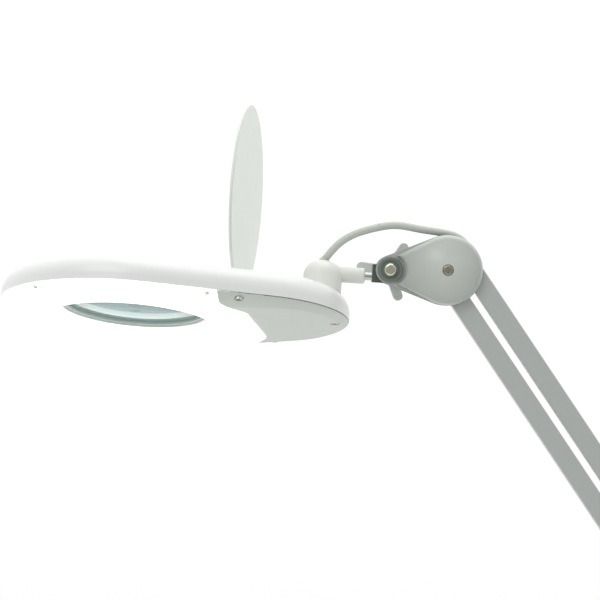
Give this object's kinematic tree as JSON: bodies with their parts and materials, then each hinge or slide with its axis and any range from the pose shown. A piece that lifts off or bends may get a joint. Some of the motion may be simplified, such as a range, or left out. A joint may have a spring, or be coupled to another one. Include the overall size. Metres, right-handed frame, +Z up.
{
  "type": "magnifying lamp",
  "caption": "Clamp-on magnifying lamp with an illuminated lens head, hinged lens cover and two-part parallel arm.",
  "frame": {"origin": "on the mounting pin's axis, in the plane of the table top gripped by the clamp", "axes": "+Z up along the mounting pin; -X over the table, towards the head; arms move in the XZ plane; -Y is the side that shows the cover screws"},
  "size_m": [0.6438, 0.2291, 1.1224],
  "materials": {
    "white_shell": "satin",
    "grey_white_cover": "satin",
    "opal": "frosted, lit from inside",
    "lens_glass": "polished",
    "tube_glass": "white phosphor, lit",
    "white_paint": "satin powder coat",
    "zinc": "zinc plated",
    "nickel": "nickel plated",
    "chrome": "polished",
    "dark_metal": "satin black",
    "black_rubber": "matt",
    "grey_plastic": "matt",
    "white_rubber": "matt sheath",
    "white_plastic": "matt",
    "ballast_steel": "plain"
  },
  "bodies": {
    "clamp": {"clamp_frame": "white_paint", "clamp_bush": "white_plastic", "jaw_pad": "black_rubber", "mains_lead": "white_rubber", "mains_coil": "white_rubber", "mains_tail": "white_rubber", "mains_plug": "white_plastic"},
    "foot": {"pressure_foot": "zinc"},
    "screw": {"clamp_screw": "zinc", "tommy_bar": "zinc"},
    "base": {"base_bracket": "white_paint", "mounting_pin": "zinc", "base_pins": "zinc", "base_gland": "white_rubber"},
    "lower_arm": {"lower_arm_tube": "white_paint", "lower_arm_spring": "zinc"},
    "lower_rod": {"lower_rod_tube": "white_paint", "lower_arm_lead": "white_rubber"},
    "elbow": {"elbow_plates": "white_paint", "elbow_pins": "zinc", "elbow_cover_near": "grey_white_cover", "elbow_cover_far": "grey_white_cover", "elbow_screws": "nickel", "elbow_lead": "white_rubber"},
    "upper_arm": {"upper_arm_tube": "white_paint", "upper_arm_spring": "zinc"},
    "upper_rod": {"upper_rod_tube": "white_paint", "upper_arm_lead": "white_rubber"},
    "arm_end": {"arm_end_plates": "white_paint", "arm_end_pins": "zinc", "arm_end_cover_near": "grey_white_cover", "arm_end_cover_far": "grey_white_cover", "arm_end_screws": "nickel", "friction_washer": "black_rubber", "tilt_bolt": "nickel", "head_lead": "white_rubber"},
    "knob": {"tilt_knob": "grey_plastic"},
    "tilt_block": {"tilt_block": "dark_metal", "tilt_pin": "chrome"},
    "swivel": {"swivel_dome": "white_shell", "lead_grommet": "white_rubber"},
    "head": {"head_top_shell": "white_shell", "rear_lower_cover": "grey_white_cover", "diffuser": "opal", "lens": "lens_glass", "lens_ring": "white_shell", "reflector_pan": "white_paint", "circular_tube": "tube_glass", "tube_socket": "white_plastic", "tube_clips": "zinc", "ballast": "ballast_steel", "rear_cover_screws": "zinc", "diffuser_screws": "zinc", "cover_hinge_bracket": "white_shell", "cover_hinge_pin": "zinc", "switch_bezel": "white_shell", "swivel_stud": "zinc"},
    "lid": {"lens_cover": "white_shell"},
    "rocker": {"rocker_switch": "white_plastic"}
  },
  "joints": [
    {"name": "base_swivel", "type": "hinge", "parent": "clamp", "child": "base", "pos_m": [0, 0, 0.05], "axis": [0, 0, 1], "range_deg": [-150, 150], "deforming": ["mains_lead"]},
    {"name": "lower_arm_fold", "type": "hinge", "parent": "base", "child": "lower_arm", "pos_m": [-0.01069, 0, 0.09699], "axis": [0, 1, 0], "range_deg": [-35, 35]},
    {"name": "lower_rod_fold", "type": "hinge", "parent": "base", "child": "lower_rod", "pos_m": [0.01069, 0, 0.08701], "axis": [0, 1, 0], "range_deg": [-35, 35]},
    {"name": "elbow_level", "type": "hinge", "parent": "lower_arm", "child": "elbow", "pos_m": [0.15835, 0, 0.45951], "axis": [0, 1, 0], "range_deg": [-35, 35]},
    {"name": "upper_arm_fold", "type": "hinge", "parent": "elbow", "child": "upper_arm", "pos_m": [0.15923, 0, 0.49398], "axis": [0, 1, 0], "range_deg": [-35, 35], "deforming": ["elbow_lead"]},
    {"name": "upper_rod_fold", "type": "hinge", "parent": "elbow", "child": "upper_rod", "pos_m": [0.17886, 0, 0.50707], "axis": [0, 1, 0], "range_deg": [-35, 35]},
    {"name": "arm_end_level", "type": "hinge", "parent": "upper_arm", "child": "arm_end", "pos_m": [-0.06271, 0, 0.82676], "axis": [0, 1, 0], "range_deg": [-35, 35]},
    {"name": "head_tilt", "type": "hinge", "parent": "arm_end", "child": "tilt_block", "pos_m": [-0.1078, 0, 0.8302], "axis": [0, 1, 0], "range_deg": [-45, 40], "deforming": ["head_lead"]},
    {"name": "head_roll", "type": "hinge", "parent": "tilt_block", "child": "swivel", "pos_m": [-0.1083, 0, 0.82322], "axis": [0.9974, 0, -0.0724], "range_deg": [-30, 60]},
    {"name": "head_swivel", "type": "hinge", "parent": "swivel", "child": "head", "pos_m": [-0.16575, 0, 0.82739], "axis": [0.0702, 0.2402, 0.9682], "range_deg": [-30, 50]},
    {"name": "lens_cover_hinge", "type": "hinge", "parent": "head", "child": "lid", "pos_m": [-0.24054, 0.01124, 0.81732], "axis": [0.1147, 0.9622, -0.2471], "range_deg": [-91, 10]},
    {"name": "switch_rock", "type": "hinge", "parent": "head", "child": "rocker", "pos_m": [-0.20458, 0.00304, 0.81147], "axis": [0.1767, 0.9522, -0.2491], "range_deg": [-14, 0]},
    {"name": "tilt_knob_turn", "type": "hinge", "parent": "arm_end", "child": "knob", "pos_m": [-0.1078, 0, 0.8302], "axis": [0, 1, 0], "range_deg": [-90, 360]},
    {"name": "screw_feed", "type": "slide", "parent": "clamp", "child": "foot", "axis": [0, 0, 1], "range_m": [-0.027, 0.021]},
    {"name": "clamp_screw_turn", "type": "hinge", "parent": "foot", "child": "screw", "pos_m": [-0.012, 0, -0.08], "axis": [0, 0, 1], "range_deg": [-3250, 2530]}
  ],
  "couplings": [
    {"joint": "lower_rod_fold", "follows": "lower_arm_fold", "ratio": 1},
    {"joint": "elbow_level", "follows": "lower_arm_fold", "ratio": -1},
    {"joint": "upper_rod_fold", "follows": "upper_arm_fold", "ratio": 1},
    {"joint": "arm_end_level", "follows": "upper_arm_fold", "ratio": -1},
    {"joint": "clamp_screw_turn", "follows": "screw_feed", "rad_per_m": 2094.4}
  ]
}
